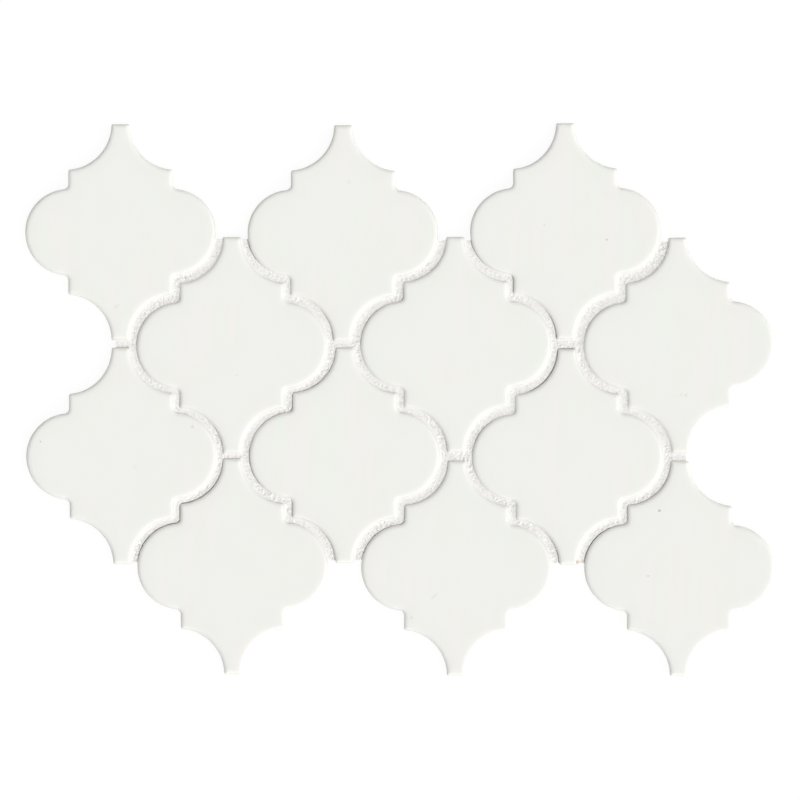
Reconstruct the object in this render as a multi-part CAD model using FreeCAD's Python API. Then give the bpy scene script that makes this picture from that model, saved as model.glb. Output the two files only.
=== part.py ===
# A sheet of arabesque lantern wall tile: white glazed ceramic tiles set by hand on a backing
# net, with sanded grout struck a little below their faces in the joints between them.
#
# Frame, in millimetres: the sheet lies on its back with the glazed faces up (+Z). +X runs along
# the rows of tiles, +Y points to the first row, and the origin is the centre of the sheet's
# footprint on the underside of the net.
import FreeCAD
import Part

import math
import os

# The sheet
columns = 3
rows = 4
pitch = 110.0                # centre to centre along a row, and between a row and the next but one
joint = 3.5                  # width of the joint between two tiles

# One tile
tile_thickness = 7.6
neck_width = 9.0             # flat end of the neck
notch_height = 8.9           # straight step between the lobe and the hollow curve under the neck
hollow_easing = 2.4          # the hollow curve is this much tighter than one that hugs the next lobe
notch_root_radius = 2.6      # inner corner, where the notch meets the lobe
corner_break = 0.7           # small flat that takes the point off each outer corner

# Grout and backing net
grout_recess = 1.6           # from the glazed face down to the grout
grout_set_back = 0.8         # how far the grout stops short of the end of a neck beside it
net_thickness = 0.4
net_margin = 3.0             # the net stops this far inside the edges of the outer tiles

# How each tile was set by hand, off its true place: millimetres right, millimetres up, and
# degrees turned anticlockwise. The key is (row from the top, column from the left).
hand_setting = {
    (1, 1): (-0.2, 0.3, 0.0), (1, 2): (-0.6, -0.2, -0.2), (1, 3): (-0.9, 0.8, 0.2),
    (2, 1): (-0.2, -0.6, 0.1), (2, 2): (0.1, 0.0, 0.3), (2, 3): (0.0, -0.4, 0.8),
    (3, 1): (0.3, -0.1, 0.4), (3, 2): (0.3, 0.3, -0.1), (3, 3): (0.2, -0.5, 0.4),
    (4, 1): (0.1, 0.7, 0.3), (4, 2): (0.4, -0.1, -0.3), (4, 3): (0.3, -0.3, -0.3),
}

# Where the grout was struck by hand at an open end of a joint, in place of the set-back above. The
# key is the side of the sheet, and the column of the neck or the row of the upper one of two necks.
hand_struck = {
    ("top", 1): 0.5, ("top", 2): 1.7, ("top", 3): 2.1,
    ("bottom", 1): 0.8, ("bottom", 2): 1.3, ("bottom", 3): 0.7,
    ("left", 1): 1.9, ("right", 2): 1.1,
}

# Worked out from the sizes above
half_height = (pitch - joint) / 2
half_neck = neck_width / 2
half_width = pitch / 2 - half_neck - joint       # a lobe stops one joint short of the next neck
notch_x = pitch / 4 - joint / 2                  # a notch stands one joint off the next tile's
lobe_radius = (pitch / 2 - joint - notch_height) / 2     # two lobes, a joint and a notch fill half a pitch
lobe_x = half_width - lobe_radius
hollow_radius = lobe_radius + joint - hollow_easing
hollow_x = half_neck + hollow_radius             # the hollow curve leaves the neck end squarely

vector = FreeCAD.Vector
up = vector(0, 0, 1)


def arc(centre, radius, a, b):
    """The shorter arc about a centre, from one point on it to another, at height 0."""
    start = math.atan2(a[1] - centre[1], a[0] - centre[0])
    end = math.atan2(b[1] - centre[1], b[0] - centre[0])
    turn = (end - start + math.pi) % (2 * math.pi) - math.pi
    middle = start + turn / 2
    halfway = (centre[0] + radius * math.cos(middle), centre[1] + radius * math.sin(middle))
    return Part.Arc(vector(*a), vector(*halfway), vector(*b)).toShape()


def line(a, b):
    return Part.LineSegment(vector(*a), vector(*b)).toShape()


def hollow_y(x):
    """Height of the hollow curve above the tile's middle, at a distance x to the side."""
    return half_height - math.sqrt(hollow_radius ** 2 - (hollow_x - x) ** 2)


def outline():
    """The tile's closed outline: each quarter runs from the lobe, by the notch, to the neck."""
    root_x = notch_x + notch_root_radius
    reach = lobe_radius + notch_root_radius
    root_y = math.sqrt(reach ** 2 - (root_x - lobe_x) ** 2)
    share = lobe_radius / reach
    lobe_end = (lobe_x + (root_x - lobe_x) * share, root_y * share)
    notch_foot = (notch_x, root_y)
    notch_top = (notch_x, hollow_y(notch_x) - corner_break)
    hollow_low = (notch_x - corner_break, hollow_y(notch_x - corner_break))
    hollow_high = (hollow_x - math.sqrt(hollow_radius ** 2 - corner_break ** 2), half_height - corner_break)
    neck_corner = (hollow_high[0] - corner_break, half_height)

    edges = []
    for sx, sy in ((1, 1), (-1, 1), (-1, -1), (1, -1)):
        def at(x, y):
            return (x * sx, y * sy)
        edges += [
            arc(at(lobe_x, 0), lobe_radius, at(half_width, 0), at(*lobe_end)),
            arc(at(root_x, root_y), notch_root_radius, at(*lobe_end), at(*notch_foot)),
            line(at(*notch_foot), at(*notch_top)),
            line(at(*notch_top), at(*hollow_low)),
            arc(at(hollow_x, half_height), hollow_radius, at(*hollow_low), at(*hollow_high)),
            line(at(*hollow_high), at(*neck_corner)),
        ]
    for sy in (1, -1):
        edges.append(line((-neck_corner[0], half_height * sy), (neck_corner[0], half_height * sy)))
    return Part.Wire(Part.__sortEdges__(edges))


def tile_body():
    """One pressed tile, standing on the net."""
    body = Part.Face(outline()).extrude(up * tile_thickness)
    body.translate(up * net_thickness)
    return body


def tile_places():
    """Every tile's place, by row and column, with the whole sheet centred on the origin."""
    places = {}
    for row in range(1, rows + 1):
        stagger = pitch / 4 if row % 2 == 0 else -pitch / 4
        for column in range(1, columns + 1):
            right, higher, turn = hand_setting.get((row, column), (0.0, 0.0, 0.0))
            x = (column - (columns + 1) / 2) * pitch + stagger + right
            y = ((rows + 1) / 2 - row) * pitch / 2 + higher
            places[row, column] = FreeCAD.Placement(vector(x, y, 0), FreeCAD.Rotation(up, turn))
    footprint = Part.Compound([set_down(outline(), place) for place in places.values()]).BoundBox
    centring = FreeCAD.Placement(vector(-footprint.Center.x, -footprint.Center.y, 0), FreeCAD.Rotation())
    return {key: centring * place for key, place in places.items()}


def set_down(shape, place):
    """A copy of a shape at a tile's place."""
    copy = shape.copy()
    copy.Placement = place * copy.Placement
    return copy


def block(x1, x2, y1, y2, z1, z2):
    return Part.makeBox(x2 - x1, y2 - y1, z2 - z1, vector(x1, y1, z1))


def set_back(side, number):
    """How far the grout stops short of the necks at one open end of a joint."""
    return hand_struck.get((side, number), grout_set_back)


def grout_joints(places, tiles):
    """One casting of grout that fills the joints between tiles and stops short of the open bays."""
    z1 = net_thickness
    z2 = net_thickness + tile_thickness - grout_recess
    first = places[1, 1].Base
    last = places[rows, columns].Base
    beds = [block(first.x, last.x, last.y, first.y, z1, z2)]
    open_ends = []
    side_reach = half_neck + 2 * joint
    for column in range(1, columns + 1):
        high, low = places[2, column].Base, places[rows - 1, column].Base
        top = high.y + half_height - set_back("top", column)
        bottom = low.y - half_height + set_back("bottom", column)
        open_ends.append(block(high.x - side_reach, high.x + side_reach, top, top + pitch, z1, z2))
        open_ends.append(block(low.x - side_reach, low.x + side_reach, bottom - pitch, bottom, z1, z2))
    # the joint between two necks carries on out of the bed where a row of tiles ends
    for row in range(1, rows - 1):
        column, side, edge = (1, -1, "left") if row % 2 == 1 else (columns, 1, "right")
        middle = (places[row, column].Base + places[row + 2, column].Base) / 2
        outer = middle.x + side * (half_neck - set_back(edge, row))
        ends = sorted((middle.x - side * half_neck, outer))
        beds.append(block(ends[0], ends[1], middle.y - joint, middle.y + joint, z1, z2))
    return beds[0].fuse(beds[1:]).cut(tiles + open_ends).removeSplitter()


def backing_net(places):
    """The net under the tiles, trimmed in straight cuts so that it shows in none of the bays."""
    first = places[1, 1].Base
    last = places[rows, columns].Base
    trim = joint / 2 + net_margin
    patches = [block(first.x, last.x, last.y + trim, first.y - trim, 0, net_thickness)]
    lobe_end = half_width - net_margin
    shoulder = notch_x - net_margin
    neck_side = half_neck - corner_break
    for place in places.values():
        x, y = place.Base.x, place.Base.y
        for reach_x, reach_y in (
            (lobe_end, lobe_radius / 2),
            (shoulder, hollow_y(shoulder) - net_margin),
            (neck_side, half_height - net_margin),
        ):
            patches.append(block(x - reach_x, x + reach_x, y - reach_y, y + reach_y, 0, net_thickness))
    return patches[0].fuse(patches[1:]).removeSplitter()


places = tile_places()
body = tile_body()
tiles = {key: set_down(body, place) for key, place in places.items()}

parts = {f"lantern_tile_r{row}_c{column}": tile for (row, column), tile in tiles.items()}
parts["grout_joints"] = grout_joints(places, list(tiles.values()))
parts["backing_net"] = backing_net(places)

os.makedirs("parts", exist_ok=True)
for name, shape in parts.items():
    shape.exportStep(f"parts/{name}.step")
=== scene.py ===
import math

import bpy
import numpy as np
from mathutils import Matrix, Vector, kdtree, noise
from mathutils.geometry import delaunay_2d_cdt


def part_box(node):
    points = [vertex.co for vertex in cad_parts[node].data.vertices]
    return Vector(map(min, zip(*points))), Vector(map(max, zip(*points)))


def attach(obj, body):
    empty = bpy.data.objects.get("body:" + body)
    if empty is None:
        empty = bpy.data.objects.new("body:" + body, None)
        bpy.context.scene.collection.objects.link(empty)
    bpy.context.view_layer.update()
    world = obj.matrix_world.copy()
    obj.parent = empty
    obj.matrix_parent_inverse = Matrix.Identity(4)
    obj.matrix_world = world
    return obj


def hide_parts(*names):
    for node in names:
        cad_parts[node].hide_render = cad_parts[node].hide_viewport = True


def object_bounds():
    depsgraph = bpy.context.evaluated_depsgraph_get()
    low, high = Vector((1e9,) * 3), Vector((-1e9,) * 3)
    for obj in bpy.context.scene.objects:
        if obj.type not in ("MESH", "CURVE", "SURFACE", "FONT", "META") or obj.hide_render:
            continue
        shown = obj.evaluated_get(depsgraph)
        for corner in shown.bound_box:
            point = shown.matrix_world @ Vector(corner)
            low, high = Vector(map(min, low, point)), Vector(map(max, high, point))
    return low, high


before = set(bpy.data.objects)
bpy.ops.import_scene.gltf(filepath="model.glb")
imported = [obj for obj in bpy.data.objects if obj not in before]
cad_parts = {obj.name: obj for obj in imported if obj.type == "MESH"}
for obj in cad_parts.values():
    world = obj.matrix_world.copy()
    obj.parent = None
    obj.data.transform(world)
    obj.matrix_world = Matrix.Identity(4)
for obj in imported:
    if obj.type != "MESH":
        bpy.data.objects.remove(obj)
cad_low, cad_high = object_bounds()

MM = 0.001

# Sizes of the solids, in millimetres
pitch = 110.0
joint = 3.5
neck_width = 9.0
notch_height = 8.9
hollow_easing = 2.4
notch_root_radius = 2.6
grout_set_back = 0.8
hand_struck = {              # the set-back where it was struck by hand, by side and column or row
    ("top", 1): 0.5, ("top", 2): 1.7, ("top", 3): 2.1,
    ("bottom", 1): 0.8, ("bottom", 2): 1.3, ("bottom", 3): 0.7,
    ("left", 1): 1.9, ("right", 2): 1.1,
}
net_margin = 3.0

half_height = (pitch - joint) / 2
half_neck = neck_width / 2
half_width = pitch / 2 - half_neck - joint
notch_x = pitch / 4 - joint / 2
lobe_radius = (pitch / 2 - joint - notch_height) / 2
lobe_x = half_width - lobe_radius
hollow_radius = lobe_radius + joint - hollow_easing
hollow_x = half_neck + hollow_radius

# The rolled edge of a tile: a tight roll at the outline, and a wider and shallower fall before it
roll_depth, roll_width = 1.25, 0.5
roll_straight = 0.2          # nearer the outline than this the roll gets no steeper
fall_depth, fall_width = 0.39, 1.3
shoulder_round = 1.2         # outer corner between a notch and a hollow
neck_round = 0.9             # outer corner at a neck end

# The side and the back of a tile
side_lean = 0.15             # the side draws in by this much towards the back
waist_height, waist_lean = 5.2, 0.2      # part of the way down the side, and its share of the lean
glaze_stop, stop_lean = 3.0, 0.5         # where the glaze ends above the back, and its share
glaze_thickness = 0.09
glaze_thins_and_shades = (0.5, 1.6)     # it thins out over the edge, between these depths below the face, and is painted darker there as shade going down into the joints
back_bevel = 0.5
groove_pitch = 9.0           # keying grooves pressed into the back
groove_width = 5.0
groove_wall = 0.8
groove_depth = 0.5
groove_margin = 5.0          # the grooves stop this far inside the outline

# What the hand and the kiln leave uneven: how much, and how long its waves are
outline_wobble, wobble_wave = 0.06, 14
wobble_fade = 2.0            # how far in from the outline the wobble dies away
roll_variation, roll_wave = 0.04, 18     # this one is a share of the roll
face_ripple, face_wave = 0.03, 26
stop_wander, wander_wave = 0.8, 9        # the line where the glaze ends
neck_reach = {               # how much further the upper neck of a tile reaches
    (2, 1): 0.3, (2, 2): -0.25, (2, 3): -0.2, (3, 1): 0.3, (3, 2): -0.15,
    (4, 1): -0.3, (4, 2): -0.5, (4, 3): -0.4,
}
tile_seed = 7.3              # from one tile's noise to the next tile's
kind_seed = 40               # from one kind of noise to the next kind, on the same tile

# Grout, between the tiles
meniscus, meniscus_width = 0.04, 0.4
dish, dish_width = 0.12, 0.9
grout_grain = ((5.0, 0.05, 1.7), (1.6, 0.12, 2.9), (0.95, 0.55, 4.3))    # size, height and seed
pit_size, pit_depth, pit_rarity = 1.2, 1.2, 0.3
wall_calm = 0.4              # share of the grain that is smoothed out right against a tile
end_raggedness, end_wave = 0.35, 1.4

# Grout, where it was pressed up on to a tile or cracked away from one
stroke_toward_key_lamp = (0.87, -0.5)  # the float drew the grout off one side of a tile and on to the next; this is also the way to the key lamp, so the film's painted highlight lies beside the lit side of each tile
press_level, press_turn = 0.55, 0.6      # at a side along the stroke, and how that changes as it turns; the same share sets the film's painted highlight
lap_height, lap_width = 0.5, 0.35
lap_skin = 0.02              # what lies over the glaze is this thick
fillet = 0.14
film_highlight_width, film_highlight_cover = 1.7, 1.3        # the cement film wiped smooth beside such a tile, painted lighter as a highlight where the tile's side faces the key lamp
crack_depth, crack_width = 2.9, 0.41
crack_limit = 4.6            # no crack is deeper than this
crack_share = {              # times the usual crack at a tile's upper neck, left lobe and lower neck
    (1, 2): (1.0, 1.75, 1.65), (1, 3): (1.0, 1.3, 1.4), (2, 1): (0.05, 1.3, 1.3),
    (2, 2): (0.35, 0.7, 0.5), (2, 3): (1.0, 0.0, 0.2), (3, 1): (1.65, 1.0, 1.0),
    (3, 2): (1.1, 1.9, 1.5), (3, 3): (1.2, 0.4, 1.35), (4, 1): (1.3, 1.95, 1.0),
    (4, 2): (0.5, 1.25, 1.0), (4, 3): (1.3, 1.15, 1.0),
}

# Net
strand_pitch = 5.0
strand_width = 1.0
strand_thickness = 0.17
strand_drift, drift_wave = 0.25, 30      # off its straight line
strand_clear = 0.01          # from the strands to the top and bottom of the net

# Small marks: place on the sheet, direction, reach along and across it, and colour
kiln_marks = (
    (101.9, 78.8, 0, 0.8, 0.7, (210, 211, 202)),
    (140.9, 2.2, 90, 1.1, 1.0, (231, 227, 214)),
    (138.4, 2.4, 90, 1.1, 1.0, (237, 233, 226)),
    (127.8, -54.7, 0, 1.1, 0.9, (206, 192, 180)),
    (122.2, -86.9, 0, 1.0, 0.6, (218, 217, 207)),
    (-177.1, -20.7, 90, 0.8, 0.6, (214, 213, 202)),
    (-102.3, -13.3, 60, 1.2, 1.0, (226, 225, 216)),
    (-130.3, -33.3, 90, 1.3, 0.8, (233, 234, 227)),
    (-80.3, 11.9, 0, 1.1, 0.6, (233, 234, 226)),
    (-25.1, 107.1, 0, 1.2, 1.0, (235, 234, 226)),
    (71.2, 86.2, 0, 0.8, 0.7, (229, 229, 220)),
    (-139.7, 45.9, 41, 2.0, 0.9, (234, 231, 224)),
    (16.9, -96.8, 43, 3.0, 0.8, (233, 231, 223)),
    (5.7, -107.4, 0, 1.2, 1.0, (230, 229, 222)),
    (87.2, -80.1, 90, 1.4, 0.7, (206, 192, 166)),
)
grout_stains = (
    (87.6, -80.1, 90, 1.5, 0.9, (214, 198, 172)),
    (90.1, -79.8, 90, 1.2, 0.7, (224, 214, 198)),
)

# Light, floor and camera
ambient_level = 0.230
lamps = {                    # level on the flat faces, height and spread in degrees, place right and up
    "key": (0.729, 45, 120, 0.87, -0.5),
    "fill": (0.019, 15, 60, -0.2, -0.98),
}
floor_reach = 4000.0         # from its middle to its edge
floor_gap = 0.1              # under the sheet
floor_seen, floor_glow = 0.1, 0.92       # its own tone, and what lifts it to white, where it is seen
stand_off = 3000.0           # from the camera to the glazed faces
view_width = 394.1           # across the picture, at the glazed faces
aim_below = 0.19             # the camera stands this far below the middle of the sheet

# How closely the shapes are drawn
lobe_steps, root_steps, notch_steps, shoulder_steps = 48, 8, 4, 6
hollow_steps, neck_steps, end_steps = 48, 6, 4
face_insets = (3.0, 2.5, 2.05, 1.65, 1.3, 1.0, 0.78, 0.6, 0.45, 0.32, 0.2, 0.1, 0.0)    # rings
face_grid = 2.0              # between the points on the flat of the face
inner_x, inner_y = 46, 52    # those on the face and the back lie within this of a tile's middle
groove_rows, spare_rows = 2.5, 3         # rows kept near a groove's end, and one in so many elsewhere
grout_grid = 0.31            # between the points on the grout
grid_shift, shift_wave = 0.3, 0.7        # put out of line by this share, so that no rows show
wall_lap = 0.3               # the grout runs this far under the rolled edge, so that no gap shows
stop_steps = 40              # along the ragged end of a joint
strand_steps = 3             # along a strand, from one crossing to the next


def bend(centre, radius, start, end, steps):
    """Points along an arc from one angle to another, without the last one."""
    angles = np.linspace(start, end, steps, endpoint=False)
    return np.array(centre) + radius * np.column_stack((np.cos(angles), np.sin(angles)))


def run(a, b, steps):
    """Points along a straight run, without the last one."""
    share = np.linspace(0, 1, steps, endpoint=False)[:, None]
    return np.array(a) * (1 - share) + np.array(b) * share


def quarter_outline(inset):
    """From the tip of a lobe to the middle of a neck end, moved in from the edge by an inset."""
    side = notch_x - inset
    end = half_height - inset
    hollow = hollow_radius + inset
    root_x = notch_x + notch_root_radius
    root_y = math.sqrt((lobe_radius + notch_root_radius) ** 2 - (root_x - lobe_x) ** 2)
    lobe_end = math.atan2(root_y, root_x - lobe_x)

    shoulder_x = side - shoulder_round
    shoulder_drop = math.sqrt((hollow + shoulder_round) ** 2 - (shoulder_x - hollow_x) ** 2)
    shoulder_y = half_height - shoulder_drop
    hollow_start = math.atan2(half_height - shoulder_y, hollow_x - shoulder_x)

    corner_y = end - neck_round
    corner_x = hollow_x - math.sqrt((hollow + neck_round) ** 2 - (half_height - corner_y) ** 2)
    hollow_end = math.atan2(half_height - corner_y, hollow_x - corner_x)

    half_turn = math.pi
    hollow_turn = hollow_start + half_turn, hollow_end + half_turn
    return np.vstack((
        bend((lobe_x, 0), lobe_radius - inset, 0, lobe_end, lobe_steps),
        bend((root_x, root_y), notch_root_radius + inset, lobe_end + half_turn, half_turn,
             root_steps),
        run((side, root_y), (side, shoulder_y), notch_steps),
        bend((shoulder_x, shoulder_y), shoulder_round, 0, hollow_start, shoulder_steps),
        bend((hollow_x, half_height), hollow, *hollow_turn, hollow_steps),
        bend((corner_x, corner_y), neck_round, hollow_end, half_turn / 2, neck_steps),
        run((corner_x, end), (0, end), end_steps),
    ))


def outline(inset):
    """A tile's closed outline about its own middle, anticlockwise from the tip of the right lobe."""
    quarter = quarter_outline(inset)
    way_back = np.vstack(([[0, half_height - inset]], quarter[:0:-1])) * (-1, 1)
    upper_half = np.vstack((quarter, way_back))
    return np.vstack((upper_half, -upper_half))


def inward(loop):
    """The direction into the tile at each point of its outline."""
    along = np.roll(loop, -1, axis=0) - np.roll(loop, 1, axis=0)
    along /= np.linalg.norm(along, axis=1)[:, None]
    return np.column_stack((-along[:, 1], along[:, 0]))


def closer_points(loop, steps=8):
    """The same loop with more points along each of its sides."""
    share = np.linspace(0, 1, steps, endpoint=False)[:, None]
    following = np.roll(loop, -1, axis=0)
    return (loop[:, None] * (1 - share) + following[:, None] * share).reshape(-1, 2)


def nearest(loop, points):
    """For each point, the number of the loop's nearest point, and how far away that is."""
    tree = kdtree.KDTree(len(loop))
    for index, (x, y) in enumerate(loop):
        tree.insert((x, y, 0), index)
    tree.balance()
    found = [tree.find((x, y, 0)) for x, y in points]
    return np.array([f[1] for f in found]), np.array([f[2] for f in found])


def distance_from(loop, points):
    """How far each point lies from a loop of close points."""
    return nearest(loop, points)[1]


def inside(loop, points):
    """Which points lie inside a closed loop."""
    x, y = points[:, 0], points[:, 1]
    found = np.zeros(len(points), bool)
    for (ax, ay), (bx, by) in zip(loop, np.roll(loop, -1, axis=0)):
        if ay != by:
            found ^= ((ay > y) != (by > y)) & (x < ax + (y - ay) * (bx - ax) / (by - ay))
    return found


def ripple(points, size, seed):
    """Smooth noise from about -1 to 1 at each point, in waves of about a size."""
    return np.array([noise.noise(Vector((x / size, y / size, seed))) for x, y in points])


def swell(points, size, seed):
    """The same noise, from about 0 to 1."""
    return 0.5 + 0.5 * ripple(points, size, seed)


def fill(loop, inner):
    """Triangles inside a closed loop of points, by way of the inner points."""
    points = [Vector(p) for p in np.vstack((loop, inner))]
    return delaunay_2d_cdt(points, [], [list(range(len(loop)))], 1, 1e-6)[2]


def evenly(reach, step):
    """Places a step apart, as far as a reach to both sides of the middle."""
    return np.arange(-reach, reach + step / 4, step)


def grid(xs, ys):
    """Points at every crossing of upright and level lines."""
    return np.array([(x, y) for x in xs for y in ys])


def make_piece(name, points, faces, materials, face_materials=None, sharp_over=40):
    """A smooth-shaded mesh object, from points in millimetres."""
    mesh = bpy.data.meshes.new(name)
    mesh.from_pydata((np.asarray(points) * MM).tolist(), [], faces)
    for material in materials:
        mesh.materials.append(material)
    if face_materials is not None:
        mesh.polygons.foreach_set("material_index", face_materials)
    mesh.polygons.foreach_set("use_smooth", [True] * len(faces))
    mesh.set_sharp_from_angle(angle=math.radians(sharp_over))
    piece = bpy.data.objects.new(name, mesh)
    bpy.context.scene.collection.objects.link(piece)
    return piece


# Where the tiles lie

def cad_points(node):
    """The points of a solid's mesh, in millimetres."""
    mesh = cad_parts[node].data
    found = np.zeros(len(mesh.vertices) * 3)
    mesh.vertices.foreach_get("co", found)
    return found.reshape(-1, 3) / MM


def tile_place(node):
    """The middle of a tile and how far it is turned, read from its two neck ends."""
    points = cad_points(node)
    low, high = points.min(0), points.max(0)
    near_end = half_neck / 10
    upper_end = points[points[:, 1] > high[1] - near_end].mean(0)
    lower_end = points[points[:, 1] < low[1] + near_end].mean(0)
    along = upper_end - lower_end
    return (low + high)[:2] / 2, math.atan2(-along[0], along[1])


def set_down(points, place):
    """Points about a tile's own middle, moved to its place in the sheet."""
    middle, turn = place
    c, s = math.cos(turn), math.sin(turn)
    return points @ np.array([[c, s], [-s, c]]) + middle


tile_nodes = sorted(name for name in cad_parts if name.startswith("lantern_tile"))
places = {}
for name in tile_nodes:
    row, column = (int(part[1:]) for part in name.split("_")[-2:])
    places[row, column] = tile_place(name)
rows, columns = max(places)

tile_low, tile_high = (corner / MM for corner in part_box(tile_nodes[0]))
back_height, face_height = tile_low.z, tile_high.z
grout_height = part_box("grout_joints")[1].z / MM


# One tile

def face_drop(inset):
    """How far the glaze lies below the middle of the face, at a distance in from the outline."""
    curved = np.maximum(inset, roll_straight)
    roll = roll_depth * np.exp(-curved / roll_width) * (1 + (curved - inset) / roll_width)
    return roll + fall_depth * np.exp(-inset / fall_width)


def groove_relief(points, inset):
    """Height of the keying grooves over the back, at points on it."""
    off_middle = np.abs((points[:, 0] + groove_pitch / 2) % groove_pitch - groove_pitch / 2)
    across = np.clip((groove_width / 2 + groove_wall / 2 - off_middle) / groove_wall, 0, 1)
    along = np.clip((inset - groove_margin) / groove_wall, 0, 1)
    return groove_depth * across * along


def tile_rings():
    """Rings of points round a tile, from the face over the edge and down to the back.

    Each is an inset from the outline and a height. The glazed rings come first, then the bare ones."""
    glazed = [(inset, face_height - face_drop(inset)) for inset in face_insets]
    stop_inset, stop_height = side_lean * stop_lean, back_height + glaze_stop
    glazed += [(side_lean * waist_lean, waist_height), (stop_inset, stop_height)]
    foot_inset = side_lean + glaze_thickness
    bare = [
        (stop_inset + glaze_thickness, stop_height - glaze_thickness),
        (foot_inset, back_height + back_bevel),
        (foot_inset + back_bevel, back_height),
    ]
    return glazed, bare


def points_on_face(edge, close_edge):
    """Points on the flat of the face, and how far each lies in from the outline."""
    points = grid(evenly(inner_x, face_grid), evenly(inner_y, face_grid))
    points = points[inside(edge, points)]
    inset = distance_from(close_edge, points)
    kept = inset > face_insets[0] + face_grid / 3
    return points[kept], inset[kept]


def points_on_back(edge, close_edge, bevel_inset):
    """Points on the back, at the foot and the top of each groove's walls, and their insets."""
    foot, top = (groove_width - groove_wall) / 2, (groove_width + groove_wall) / 2
    steps = (-top, -foot, 0, foot, top, groove_pitch / 2)
    xs = [groove * groove_pitch + step for groove in range(-5, 6) for step in steps]
    points = grid(xs, evenly(inner_y, groove_wall))
    points = points[inside(edge, points)]
    inset = distance_from(close_edge, points)
    near_end = np.abs(inset - groove_margin - groove_wall / 2) < groove_rows * groove_wall
    spare = np.round(points[:, 1] / groove_wall).astype(int) % spare_rows == 0
    kept = (inset > bevel_inset + groove_wall) & (near_end | spare)
    return points[kept], inset[kept]


def tile_shape():
    """One tile about its own middle, before it is made uneven.

    Gives its points, how far each lies in from the outline and which way is in, then the faces,
    the number of the first face that has no glaze, and the points where the glaze stops."""
    edge = outline(0)
    way_in = inward(edge)
    close_edge = closer_points(edge)
    glazed, bare = tile_rings()
    count = len(edge)
    points, insets, directions = [], [], []
    for inset, height in glazed + bare:
        points.append(np.column_stack((outline(inset), np.full(count, height))))
        insets.append(np.full(count, inset))
        directions.append(way_in)

    def bands(first, last):
        """Quads between rings, from one ring to a later one."""
        made = []
        for ring in range(first, last):
            for step in range(count):
                a, b = ring * count + step, ring * count + (step + 1) % count
                made.append((a, a + count, b + count, b))
        return made

    def close(ring, inner, inner_insets, height, flip):
        """Fills the inside of a ring, and puts the new points on the face or the back."""
        start = sum(len(p) for p in points)
        points.append(np.column_stack((inner, height)))
        insets.append(inner_insets)
        directions.append(np.zeros((len(inner), 2)))
        made = []
        for face in fill(points[ring][:, :2], inner):
            face = [ring * count + i if i < count else start + i - count for i in face]
            made.append(tuple(reversed(face)) if flip else tuple(face))
        return made

    stop = len(glazed) - 1
    last = stop + len(bare)
    inner, inset = points_on_face(edge, close_edge)
    faces = close(0, inner, inset, face_height - face_drop(inset), False)
    faces += bands(0, stop)
    first_bare = len(faces)
    faces += bands(stop, last)
    inner, inset = points_on_back(edge, close_edge, bare[-1][0])
    faces += close(last, inner, inset, back_height + groove_relief(inner, inset), True)
    shape = (np.vstack(points), np.concatenate(insets), np.vstack(directions))
    return shape, faces, first_bare, slice(stop * count, (stop + 2) * count)


def stretch_neck(plan, reach):
    """Points of a tile about its own middle, with the upper neck drawn out by a reach."""
    share = np.clip(plan[:, 1] / half_height * 2 - 1, 0, 1)
    return plan + np.outer(reach * share * share * (3 - 2 * share), (0, 1))


def laid_outline(key, inset):
    """The outline of the tile at a row and column, where it lies in the sheet."""
    return set_down(stretch_neck(outline(inset), neck_reach.get(key, 0.0)), places[key])


def uneven_tile(shape, glaze_ring, seed, reach):
    """A tile's points with the small differences that set it apart from its neighbours."""
    points, insets, directions = shape
    plan = points[:, :2]
    moved = points.copy()
    moved[:, :2] = stretch_neck(plan, reach)
    wobble = outline_wobble * swell(plan, wobble_wave, seed) * np.exp(-insets / wobble_fade)
    moved[:, :2] += directions * wobble[:, None]
    rolled = np.minimum(face_height - points[:, 2], face_drop(0.0))
    rolled *= roll_variation * (1 + ripple(plan, roll_wave, seed + kind_seed))
    sunk = face_ripple * swell(plan, face_wave, seed + 2 * kind_seed)
    on_face = points[:, 2] > waist_height
    moved[on_face, 2] -= (rolled + sunk)[on_face]
    wander = stop_wander * ripple(plan, wander_wave, seed + 3 * kind_seed)
    moved[glaze_ring, 2] += wander[glaze_ring]
    return moved


def make_tiles(glaze, clay):
    """Twelve tiles from one shape, each a little uneven in its own way."""
    shape, faces, first_bare, glaze_ring = tile_shape()
    face_materials = [0] * first_bare + [1] * (len(faces) - first_bare)
    for number, ((row, column), place) in enumerate(sorted(places.items())):
        reach = neck_reach.get((row, column), 0.0)
        points = uneven_tile(shape, glaze_ring, number * tile_seed, reach)
        points[:, :2] = set_down(points[:, :2], place)
        name = f"r{row}_c{column}"
        tile = make_piece(f"glazed_tile_{name}", points, faces, [glaze, clay], face_materials)
        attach(tile, "root")
        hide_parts(f"lantern_tile_{name}")


# Grout

def set_back(side, number):
    """How far the grout stops short of the necks at one open end of a joint."""
    return hand_struck.get((side, number), grout_set_back)


def beds_and_ends():
    """Rectangles that hold the grout, those that it stays out of, and the lines where it stops."""
    first, last = places[1, 1][0], places[rows, columns][0]
    beds = [(first[0], last[0], last[1], first[1])]
    open_ends, stops = [], []
    reach = half_neck + 2 * joint
    for column in range(1, columns + 1):
        high, low = places[2, column][0], places[rows - 1, column][0]
        top = high[1] + half_height - set_back("top", column)
        bottom = low[1] - half_height + set_back("bottom", column)
        open_ends += [(high[0] - reach, high[0] + reach, top, top + pitch)]
        open_ends += [(low[0] - reach, low[0] + reach, bottom - pitch, bottom)]
        stops += [((high[0] - reach, top), (high[0] + reach, top), (0, -1))]
        stops += [((low[0] - reach, bottom), (low[0] + reach, bottom), (0, 1))]
    for row in range(1, rows - 1):
        column, side, edge = (1, -1, "left") if row % 2 == 1 else (columns, 1, "right")
        middle = (places[row, column][0] + places[row + 2, column][0]) / 2
        outer = middle[0] + side * (half_neck - set_back(edge, row))
        across = sorted((middle[0] - side * half_neck, outer))
        beds += [(across[0], across[1], middle[1] - joint, middle[1] + joint)]
        stops += [((outer, middle[1] - joint), (outer, middle[1] + joint), (-side, 0))]
    return beds, open_ends, stops


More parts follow.
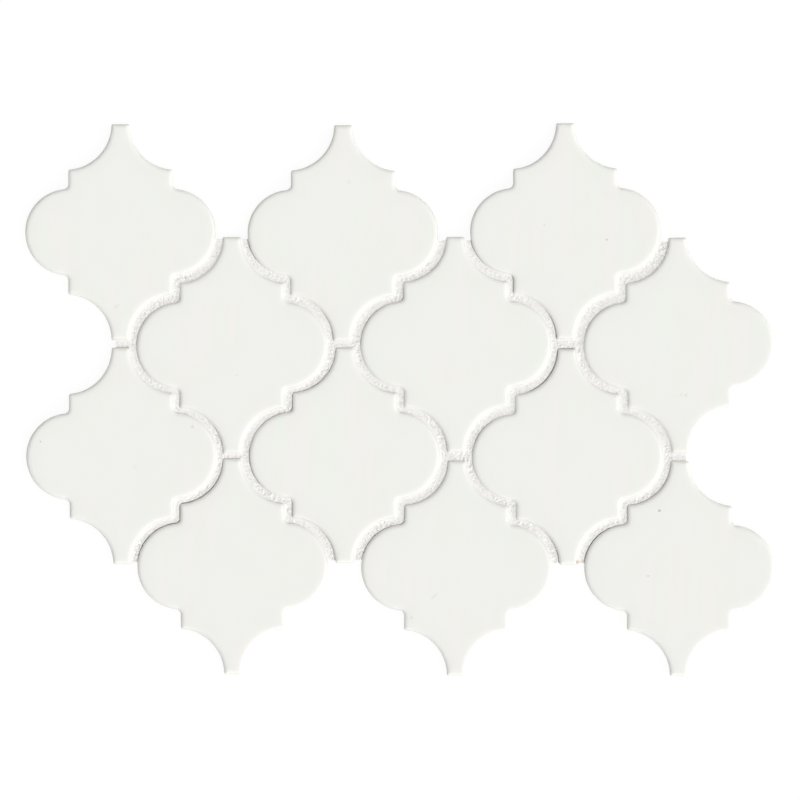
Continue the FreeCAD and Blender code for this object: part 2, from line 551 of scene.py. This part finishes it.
def in_any(rectangles, points):
    """Which points lie in at least one of some rectangles."""
    x, y = points[:, 0], points[:, 1]
    found = np.zeros(len(points), bool)
    for x1, x2, y1, y2 in rectangles:
        found |= (x > x1) & (x < x2) & (y > y1) & (y < y2)
    return found


def raggedness(points):
    """How far short of its line the grout stops, at points along that line."""
    return end_raggedness * swell(points, end_wave, 5.5)


def beyond_stop(points, a, b, back):
    """Which points lie past the ragged line where the grout stops."""
    out = -np.array(back)
    along = np.abs(np.array([out[1], out[0]]))
    span = sorted(((a * along).sum(), (b * along).sum()))
    place = points @ along
    past = (points - a) @ out
    on_line = points - np.outer(past, out)
    return (past > -raggedness(on_line)) & (past < pitch / 2) & (place > span[0]) & (place < span[1])


def grout_top(walls, close_walls):
    """The points and triangles of the grout's surface, seen from above."""
    beds, open_ends, stops = beds_and_ends()
    low, high = np.array(cad_low) / MM, np.array(cad_high) / MM
    points = grid(*(np.arange(low[axis], high[axis], grout_grid) for axis in (0, 1)))
    points = points[in_any(beds, points) & ~in_any(open_ends, points)]
    shift = [ripple(points, shift_wave, seed) for seed in (3.1, 8.4)]
    points += grout_grid * grid_shift * np.column_stack(shift)
    for wall in walls:
        points = points[~inside(wall, points)]
    points = points[distance_from(close_walls, points) > grout_grid / 2]

    corners, sides = [points], []
    start = len(points)
    for wall in walls:
        loop = closer_points(wall, 2)
        corners.append(loop)
        sides += [(start + i, start + (i + 1) % len(loop)) for i in range(len(loop))]
        start += len(loop)
    for a, b, back in stops:
        line = run(a, b, stop_steps)
        line = line + raggedness(line)[:, None] * np.array(back)
        corners.append(line)
        sides += [(start + i, start + i + 1) for i in range(len(line) - 1)]
        start += len(line)
    found = delaunay_2d_cdt([Vector(p) for p in np.vstack(corners)], sides, [], 0, 1e-4)
    points, faces = np.array([tuple(p) for p in found[0]]), np.array(found[2])

    middles = points[faces].mean(1)
    kept = in_any(beds, middles)
    for wall in walls:
        kept &= ~inside(wall, middles)
    for a, b, back in stops:
        kept &= ~beyond_stop(middles, a, b, back)
    used, faces = np.unique(faces[kept], return_inverse=True)
    return points[used], faces.reshape(-1, 3)


def pressed_and_lit(facing):
    """How hard the grout was pressed on to a tile, by how far its side faces along the stroke, which is
    towards the key lamp; it also sets the film's painted highlight.
    """
    return np.clip(press_level + press_turn * facing, 0, 1)


def crack_round(key, loop):
    """The share of the usual crack at each point round a tile."""
    above_middle = (loop[:, 1] - places[key][0][1]) / half_height
    return np.interp(above_middle, (-0.6, 0, 0.6), crack_share.get(key, (1, 1, 1))[::-1])


def wavering(points, usual, swing, wave, seed, least, most):
    """A share that wavers about its usual value from place to place, within limits."""
    return np.clip(usual + swing * ripple(points, wave, seed), least, most)


def grout_surface(points, from_wall, facing, share):
    """Height of the grout: dished, pressed up on one side, cracked off the other, and grainy."""
    height = grout_height + meniscus * np.exp(-from_wall / meniscus_width)
    height -= dish * (1 - np.exp(-from_wall / dish_width))
    pressed = pressed_and_lit(facing)
    to_middle = np.clip(1 - from_wall / (joint / 2), 0, 1)
    height += pressed * (lap_height * np.exp(-from_wall / lap_width) + fillet * to_middle ** 2)
    on_tile = face_height - face_drop(np.clip(wall_lap - from_wall, 0, wall_lap)) + lap_skin
    height = np.where(from_wall < wall_lap, np.minimum(height, on_tile), height)

    loose = np.clip(-facing, 0, 1) * share
    loose *= wavering(points, usual=0.75, swing=1.4, wave=35, seed=6.1, least=0.15, most=1.6)
    crack = np.minimum(crack_depth * loose, crack_limit)
    height -= crack * np.exp(-(from_wall / crack_width) ** 2)

    coarse = wavering(points, usual=0.65, swing=1.4, wave=16, seed=7.7, least=0.25, most=1.1)
    grain = sum(high * ripple(points, size, seed) for size, high, seed in grout_grain)
    pits = pit_depth * np.clip(ripple(points, pit_size, 9.9) - pit_rarity, 0, 1)
    calm = wall_calm * np.exp(-from_wall / meniscus_width) + pressed * to_middle * (1 - wall_calm)
    return height + coarse * (grain - pits) * (1 - calm)


def close_casting(points, height, faces):
    """The grout's surface with walls and a flat underside."""
    edges = np.vstack((faces[:, [0, 1]], faces[:, [1, 2]], faces[:, [2, 0]]))
    known = {tuple(e) for e in edges.tolist()}
    rim = [(a, b) for a, b in edges.tolist() if (b, a) not in known]
    rim_points = sorted({a for a, b in rim} | {b for a, b in rim})
    below = {point: len(points) + i for i, point in enumerate(rim_points)}
    solid = np.vstack((
        np.column_stack((points, height)),
        np.column_stack((points[rim_points], np.full(len(rim_points), back_height))),
    ))
    order = {point: i for i, point in enumerate(rim_points)}
    sides = [(order[a], order[b]) for a, b in rim]
    flat = delaunay_2d_cdt([Vector(points[p]) for p in rim_points], sides, [], 1, 1e-6)
    underside = [tuple(below[rim_points[i]] for i in reversed(face)) for face in flat[2]]
    upright = [(a, below[a], below[b], b) for a, b in rim]
    return solid, faces.tolist() + upright + underside


def make_grout(material):
    """The grout in one casting, with the smooth film, painted lighter as a highlight beside the lit
    side of each tile, marked on it for its material.
    """
    walls = [laid_outline(key, wall_lap) for key in places]
    close_loops = [closer_points(wall) for wall in walls]
    close_walls = np.vstack(close_loops)
    outward = -np.vstack([inward(loop) for loop in close_loops])
    share = np.concatenate([crack_round(key, loop) for key, loop in zip(places, close_loops)])

    points, faces = grout_top(walls, close_walls)
    wall_point, from_wall = nearest(close_walls, points)
    facing = outward[wall_point] @ np.array(stroke_toward_key_lamp)
    height = grout_surface(points, from_wall, facing, share[wall_point])
    solid, closed = close_casting(points, height, faces)
    piece = make_piece("sanded_grout", solid, closed, [material])
    film_highlight = np.zeros(len(solid))
    # Painted highlight: the film is lighter grout beside each tile's side that faces the key lamp.
    highlighted_there = np.clip(film_highlight_cover * pressed_and_lit(facing), 0, 1)
    film_highlight[:len(points)] = highlighted_there * np.clip(1 - from_wall / film_highlight_width, 0, 1)
    piece.data.attributes.new("film_highlight", "FLOAT", "POINT").data.foreach_set("value", film_highlight)
    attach(piece, "root")
    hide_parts("grout_joints")


# Net

def net_patches():
    """Rectangles that the net covers, as its solid does."""
    first, last = places[1, 1][0], places[rows, columns][0]
    trim = joint / 2 + net_margin
    patches = [(first[0], last[0], last[1] + trim, first[1] - trim)]
    shoulder = notch_x - net_margin
    shoulder_y = half_height - math.sqrt(hollow_radius ** 2 - (hollow_x - shoulder) ** 2)
    reaches = (
        (half_width - net_margin, lobe_radius / 2),
        (shoulder, shoulder_y - net_margin),
        (half_neck - neck_round, half_height - net_margin),
    )
    for (x, y), turn in places.values():
        patches += [(x - rx, x + rx, y - ry, y + ry) for rx, ry in reaches]
    return patches


def covered(patches, place, axis):
    """The stretches of a line across the net that lie on it."""
    spans = []
    for patch in patches:
        along, across = (patch[:2], patch[2:]) if axis == 0 else (patch[2:], patch[:2])
        if across[0] < place < across[1]:
            spans.append(along)
    merged = []
    for start, end in sorted(spans):
        if merged and start <= merged[-1][1]:
            merged[-1][1] = max(merged[-1][1], end)
        else:
            merged.append([start, end])
    return merged


def strand_points(start, end, line, axis):
    """A strand's skin, four points at each station, as it goes over and under those it crosses."""
    step = strand_pitch / strand_steps
    inner = np.arange(math.floor(start / step) + 1, math.ceil(end / step)) * step
    along = np.concatenate(([start], inner, [end]))
    place = np.full(len(along), line * strand_pitch)
    middle = back_height / 2
    sway = (middle - strand_thickness / 2 - strand_clear) * (1 if axis == 0 else -1)
    height = middle + sway * np.cos(math.pi * (along / strand_pitch + line))
    drift = strand_drift * ripple(np.column_stack((along, place)), drift_wave, axis + 0.5)
    corners = []
    for wide, high in ((0.5, 0), (0, 0.5), (-0.5, 0), (0, -0.5)):
        across = place + drift + wide * strand_width
        plan = (along, across) if axis == 0 else (across, along)
        corners.append(np.column_stack((*plan, height + high * strand_thickness)))
    return np.stack(corners, axis=1).reshape(-1, 3)


def make_net(material):
    """Flat strands woven over and under each other, cut off square at the edge of the net."""
    patches = net_patches()
    reach = max(abs(c) for patch in patches for c in patch)
    lines = int(reach / strand_pitch) + 1
    strands, faces, count = [], [], 0
    for axis in (0, 1):
        for line in range(-lines, lines + 1):
            for start, end in covered(patches, line * strand_pitch, axis):
                strand = strand_points(start, end, line, axis)
                faces += strand_faces(count, len(strand) // 4, axis == 0)
                strands.append(strand)
                count += len(strand)
    piece = make_piece("woven_net", np.vstack(strands), faces, [material], sharp_over=180)
    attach(piece, "root")
    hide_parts("backing_net")


def strand_faces(first, stations, along_x):
    """The skin and the two cut ends of a strand with four points at each station."""
    made = []
    for station in range(stations - 1):
        for corner in range(4):
            a = first + station * 4 + corner
            b = first + station * 4 + (corner + 1) % 4
            made.append((a, b, b + 4, a + 4))
    last = first + (stations - 1) * 4
    made.append((first + 3, first + 2, first + 1, first))
    made.append((last, last + 1, last + 2, last + 3))
    return made if along_x else [tuple(reversed(face)) for face in made]


# Materials

def node(tree, kind, inputs=None, **settings):
    """A shader node with its settings, and its inputs set to values or linked to outputs."""
    made = tree.nodes.new(kind)
    for name, value in settings.items():
        setattr(made, name, value)
    for name, value in (inputs or {}).items():
        if isinstance(value, bpy.types.NodeSocket):
            tree.links.new(value, made.inputs[name])
        else:
            made.inputs[name].default_value = value
    return made


def new_material(name):
    """An empty material with its shader and output, and coordinates in the sheet's own frame."""
    material = bpy.data.materials.new(name)
    material.use_nodes = True
    tree = material.node_tree
    tree.nodes.clear()
    output = node(tree, "ShaderNodeOutputMaterial")
    shader = node(tree, "ShaderNodeBsdfPrincipled")
    tree.links.new(shader.outputs[0], output.inputs["Surface"])
    place = node(tree, "ShaderNodeTexCoord").outputs["Object"]
    return material, tree, shader, place


def display(red, green, blue):
    """A colour given as a screen shows it, from 0 to 255, as the linear values that a shader takes."""
    linear = [((c / 255 + 0.055) / 1.055) ** 2.4 for c in (red, green, blue)]
    return (*linear, 1.0)


def size(millimetres):
    """The scale of a pattern whose marks are about that large."""
    return 1 / (millimetres * MM)


def mix(tree, mask, a, b):
    """One colour over another, by a mask."""
    made = node(tree, "ShaderNodeMix", {0: mask, 6: a, 7: b}, data_type="RGBA")
    return made.outputs[2]


def new_group(name, inputs, outputs):
    """An empty node group with named inputs and outputs."""
    tree = bpy.data.node_groups.new(name, "ShaderNodeTree")
    for label, kind, value in inputs:
        socket = tree.interface.new_socket(label, in_out="INPUT", socket_type=kind)
        if value is not None:
            socket.default_value = value
    for label, kind in outputs:
        tree.interface.new_socket(label, in_out="OUTPUT", socket_type=kind)
    return tree, node(tree, "NodeGroupInput"), node(tree, "NodeGroupOutput")


def use(tree, group, **inputs):
    """A node group placed in a material, with its inputs by name."""
    return node(tree, "ShaderNodeGroup", inputs, node_tree=group)


def patch_group():
    """Soft patches of noise, as a mask that runs from Low to High."""
    tree, given, out = new_group(
        "soft patches",
        [("Place", "NodeSocketVector", None), ("Scale", "NodeSocketFloat", 1.0),
         ("Detail", "NodeSocketFloat", 2.0), ("Low", "NodeSocketFloat", 0.4),
         ("High", "NodeSocketFloat", 0.6)],
        [("Mask", "NodeSocketFloat")],
    )
    pattern = node(tree, "ShaderNodeTexNoise", {
        "Vector": given.outputs["Place"], "Scale": given.outputs["Scale"],
        "Detail": given.outputs["Detail"]})
    spread = node(tree, "ShaderNodeMapRange", {
        "Value": pattern.outputs["Fac"], "From Min": given.outputs["Low"],
        "From Max": given.outputs["High"]})
    tree.links.new(spread.outputs["Result"], out.inputs["Mask"])
    return tree


def grain_group():
    """Separate grains, each with a tone of its own, and the hollows between them."""
    tree, given, out = new_group(
        "grains",
        [("Place", "NodeSocketVector", None), ("Scale", "NodeSocketFloat", 1.0)],
        [("Tone", "NodeSocketFloat"), ("Height", "NodeSocketFloat")],
    )
    cells = node(tree, "ShaderNodeTexVoronoi", {
        "Vector": given.outputs["Place"], "Scale": given.outputs["Scale"]})
    tone = node(tree, "ShaderNodeSeparateColor", {"Color": cells.outputs["Color"]})
    round_top = node(tree, "ShaderNodeMapRange", {
        "Value": cells.outputs["Distance"], "From Min": 0.6, "From Max": 0.0},
        interpolation_type="SMOOTHSTEP")
    bared = node(tree, "ShaderNodeMath", {0: tone.outputs["Green"], 1: 2.0}, operation="POWER")
    height = node(tree, "ShaderNodeMath", {
        0: round_top.outputs["Result"], 1: bared.outputs[0]}, operation="MULTIPLY")
    tree.links.new(tone.outputs["Red"], out.inputs["Tone"])
    tree.links.new(height.outputs[0], out.inputs["Height"])
    return tree


def mark_group():
    """A small mark at one spot, drawn out along a direction, with a soft edge."""
    tree, given, out = new_group(
        "mark",
        [("Place", "NodeSocketVector", None), ("Spot", "NodeSocketVector", None),
         ("Turn", "NodeSocketFloat", 0.0), ("Length", "NodeSocketFloat", 0.001),
         ("Width", "NodeSocketFloat", 0.001)],
        [("Mask", "NodeSocketFloat")],
    )
    offset = node(tree, "ShaderNodeVectorMath", {
        0: given.outputs["Place"], 1: given.outputs["Spot"]}, operation="SUBTRACT")
    turned = node(tree, "ShaderNodeVectorRotate", {
        "Vector": offset.outputs[0], "Angle": given.outputs["Turn"]},
        rotation_type="Z_AXIS", invert=True)
    reach = node(tree, "ShaderNodeCombineXYZ", {
        "X": given.outputs["Length"], "Y": given.outputs["Width"], "Z": 1.0})
    share = node(tree, "ShaderNodeVectorMath", {
        0: turned.outputs[0], 1: reach.outputs[0]}, operation="DIVIDE")
    distance = node(tree, "ShaderNodeVectorMath", {0: share.outputs[0]}, operation="LENGTH")
    soft = node(tree, "ShaderNodeMapRange", {
        "Value": distance.outputs["Value"], "From Min": 1.0, "From Max": 0.3},
        interpolation_type="SMOOTHSTEP")
    tree.links.new(soft.outputs["Result"], out.inputs["Mask"])
    return tree


def bump(tree, shader, height, distance):
    """Relief on a shader, as high as a distance in millimetres."""
    made = node(tree, "ShaderNodeBump", {"Height": height, "Distance": distance * MM})
    tree.links.new(made.outputs["Normal"], shader.inputs["Normal"])


def marked(tree, place, colour, spots):
    """A colour with small marks laid over it, each at its own spot on the sheet."""
    for x, y, turn, length, width, tone in spots:
        mark = use(tree, marks, Place=place, Spot=(x * MM, y * MM, 0), Turn=math.radians(turn),
                   Length=length * MM, Width=width * MM)
        colour = mix(tree, mark.outputs["Mask"], colour, display(*tone))
    return colour


def white_glaze():
    """Gloss white glaze with faint upright streaks, a soft bloom, a few kiln specks, and painted shade
    where it thins down the edge.
    """
    material, tree, shader, place = new_material("white_glaze")
    cool_white, warm_white = display(238.9, 241.1, 234), display(242.7, 240.3, 235.6)
    even_white, thin_glaze_and_shade = display(240, 240.5, 236), display(232, 231, 224)
    upright = node(tree, "ShaderNodeVectorMath", {0: place, 1: (1, 0.12, 1)}, operation="MULTIPLY")
    streaks = use(tree, patches, Place=upright.outputs[0], Scale=size(9), Detail=1.0,
                  Low=0.35, High=0.65)
    bloom = use(tree, patches, Place=place, Scale=size(35), Detail=3.0, Low=0.3, High=0.7)
    colour = mix(tree, streaks.outputs["Mask"], cool_white, warm_white)
    colour = mix(tree, bloom.outputs["Mask"], colour, even_white)
    height = node(tree, "ShaderNodeSeparateXYZ", {"Vector": place})
    # Painted shade: the glaze darkens down the rolled edge into the joints, partly as real thin glaze.
    thin_and_shaded = node(tree, "ShaderNodeMapRange", {
        "Value": height.outputs["Z"], "From Min": (face_height - glaze_thins_and_shades[0]) * MM,
        "From Max": (face_height - glaze_thins_and_shades[1]) * MM})
    colour = mix(tree, thin_and_shaded.outputs["Result"], colour, thin_glaze_and_shade)
    colour = marked(tree, place, colour, kiln_marks)
    tree.links.new(colour, shader.inputs["Base Color"])
    shine = use(tree, patches, Place=place, Scale=size(14), Detail=2.0, Low=0.2, High=0.8)
    rough = node(tree, "ShaderNodeMapRange", {
        "Value": shine.outputs["Mask"], "To Min": 0.10, "To Max": 0.18})
    tree.links.new(rough.outputs["Result"], shader.inputs["Roughness"])
    peel = use(tree, patches, Place=place, Scale=size(2.5), Detail=1.0, Low=0.2, High=0.8)
    bump(tree, shader, peel.outputs["Mask"], 0.006)
    return material


def fired_clay():
    """Pale biscuit body with fine grog, bare on the back and the lower part of the sides."""
    material, tree, shader, place = new_material("fired_clay")
    buff, cream, crumb = display(222, 208, 188), display(232, 222, 206), display(214, 200, 180)
    grog = use(tree, grains, Place=place, Scale=size(0.5))
    clouds = use(tree, patches, Place=place, Scale=size(12), Detail=4.0, Low=0.3, High=0.7)
    colour = mix(tree, clouds.outputs["Mask"], buff, cream)
    colour = mix(tree, grog.outputs["Tone"], colour, crumb)
    tree.links.new(colour, shader.inputs["Base Color"])
    shader.inputs["Roughness"].default_value = 0.9
    bump(tree, shader, grog.outputs["Height"], 0.05)
    return material


def sanded_grout():
    """Sanded cement grout: pale sand in a slightly pink paste, dark pits, and a smooth film painted
    lighter as a highlight beside the lit side of each tile.
    """
    material, tree, shader, place = new_material("sanded_grout")
    dry_paste, wet_paste = display(235, 233, 229.5), display(228.5, 225.5, 221.5)
    pale_sand, dark_pit = display(249, 248, 245), display(205, 199, 193)
    smooth_cement_highlight = display(240, 239, 235)
    sand = use(tree, grains, Place=place, Scale=size(0.6))
    paste = use(tree, patches, Place=place, Scale=size(6), Detail=4.0, Low=0.3, High=0.7)
    pits = use(tree, patches, Place=place, Scale=size(0.9), Detail=2.0, Low=0.62, High=0.70)
    film_highlight = node(tree, "ShaderNodeAttribute", attribute_name="film_highlight")
    colour = mix(tree, paste.outputs["Mask"], wet_paste, dry_paste)
    colour = mix(tree, sand.outputs["Tone"], colour, pale_sand)
    colour = mix(tree, pits.outputs["Mask"], colour, dark_pit)
    # Painted highlight: lighter smooth cement beside the lit side of each tile.
    colour = mix(tree, film_highlight.outputs["Fac"], colour, smooth_cement_highlight)
    colour = marked(tree, place, colour, grout_stains)
    tree.links.new(colour, shader.inputs["Base Color"])
    shader.inputs["Roughness"].default_value = 0.95
    bump(tree, shader, sand.outputs["Height"], 0.08)
    return material


def net_fibre():
    """Coated glass-fibre yarn with fine filaments along it."""
    material, tree, shader, place = new_material("net_fibre")
    shaded_yarn, bright_yarn = display(226, 225, 216), display(242, 241, 235)
    filaments = use(tree, patches, Place=place, Scale=size(0.35), Detail=2.0, Low=0.3, High=0.7)
    colour = mix(tree, filaments.outputs["Mask"], shaded_yarn, bright_yarn)
    tree.links.new(colour, shader.inputs["Base Color"])
    shader.inputs["Roughness"].default_value = 0.55
    bump(tree, shader, filaments.outputs["Mask"], 0.04)
    return material


# Floor, light and camera

def seen_outright(tree):
    """1 for what the camera sees, also in a reflection or through glass, and 0 for plain light."""
    path = node(tree, "ShaderNodeLightPath")
    seen = path.outputs["Is Camera Ray"]
    for kind in ("Is Glossy Ray", "Is Transmission Ray"):
        either = node(tree, "ShaderNodeMath", {0: seen, 1: path.outputs[kind]}, operation="MAXIMUM")
        seen = either.outputs[0]
    return seen


def pale_floor():
    """A white floor that lights the rim from below, and is lifted to the backdrop where it is seen."""
    material = bpy.data.materials.new("pale_floor")
    material.use_nodes = True
    tree = material.node_tree
    tree.nodes.clear()
    output = node(tree, "ShaderNodeOutputMaterial")
    seen = seen_outright(tree)
    tone = mix(tree, seen, display(246, 246, 246), (floor_seen, floor_seen, floor_seen, 1))
    lift = node(tree, "ShaderNodeMath", {0: seen, 1: floor_glow}, operation="MULTIPLY")
    matte = node(tree, "ShaderNodeBsdfDiffuse", {"Color": tone})
    glow = node(tree, "ShaderNodeEmission", {"Color": (1, 1, 1, 1), "Strength": lift.outputs[0]})
    both = node(tree, "ShaderNodeAddShader", {0: matte.outputs[0], 1: glow.outputs[0]})
    tree.links.new(both.outputs[0], output.inputs["Surface"])

    corners = [(x, y, -floor_gap) for x, y in ((-1, -1), (1, -1), (1, 1), (-1, 1))]
    corners = [(x * floor_reach, y * floor_reach, z) for x, y, z in corners]
    floor = make_piece("floor", corners, [(0, 1, 2, 3)], [material])


def light_the_sheet():
    """Even light from all round, a broad soft lamp from the right, and a weak low one from below."""
    world = bpy.data.worlds.new("surround")
    world.use_nodes = True
    tree = world.node_tree
    tree.nodes.clear()
    output = node(tree, "ShaderNodeOutputWorld")
    strength = node(tree, "ShaderNodeMapRange", {
        "Value": seen_outright(tree), "To Min": ambient_level, "To Max": 1.0})
    surround = node(tree, "ShaderNodeBackground", {
        "Color": (1, 1, 1, 1), "Strength": strength.outputs["Result"]})
    tree.links.new(surround.outputs[0], output.inputs["Surface"])
    bpy.context.scene.world = world

    for name, (level, elevation, spread, right, up) in lamps.items():
        elevation = math.radians(elevation)
        data = bpy.data.lights.new(name, "SUN")
        data.energy = level * math.pi / math.sin(elevation)
        data.angle = math.radians(spread)
        lamp = bpy.data.objects.new(name, data)
        lamp.visible_glossy = False          # the glaze mirrors the pale surround alone
        flat = math.hypot(right, up) / math.cos(elevation)
        towards = Vector((right / flat, up / flat, math.sin(elevation)))
        lamp.rotation_mode = "QUATERNION"
        lamp.rotation_quaternion = towards.to_track_quat("Z", "Y")
        bpy.context.scene.collection.objects.link(lamp)


def look_straight_down():
    """The camera over the sheet, as far off as the photograph's even view asks."""
    data = bpy.data.cameras.new("camera")
    data.sensor_width = 36
    data.lens = data.sensor_width * stand_off / view_width
    data.clip_start, data.clip_end = 0.1, 20
    camera = bpy.data.objects.new("camera", data)
    middle = (cad_low + cad_high) / 2
    camera.location = (middle.x, middle.y - aim_below * MM, (face_height + stand_off) * MM)
    bpy.context.scene.collection.objects.link(camera)
    bpy.context.scene.camera = camera


patches = patch_group()
grains = grain_group()
marks = mark_group()

look_straight_down()
make_tiles(white_glaze(), fired_clay())
make_grout(sanded_grout())
make_net(net_fibre())
pale_floor()
light_the_sheet()
bpy.context.scene.view_settings.view_transform = "Standard"
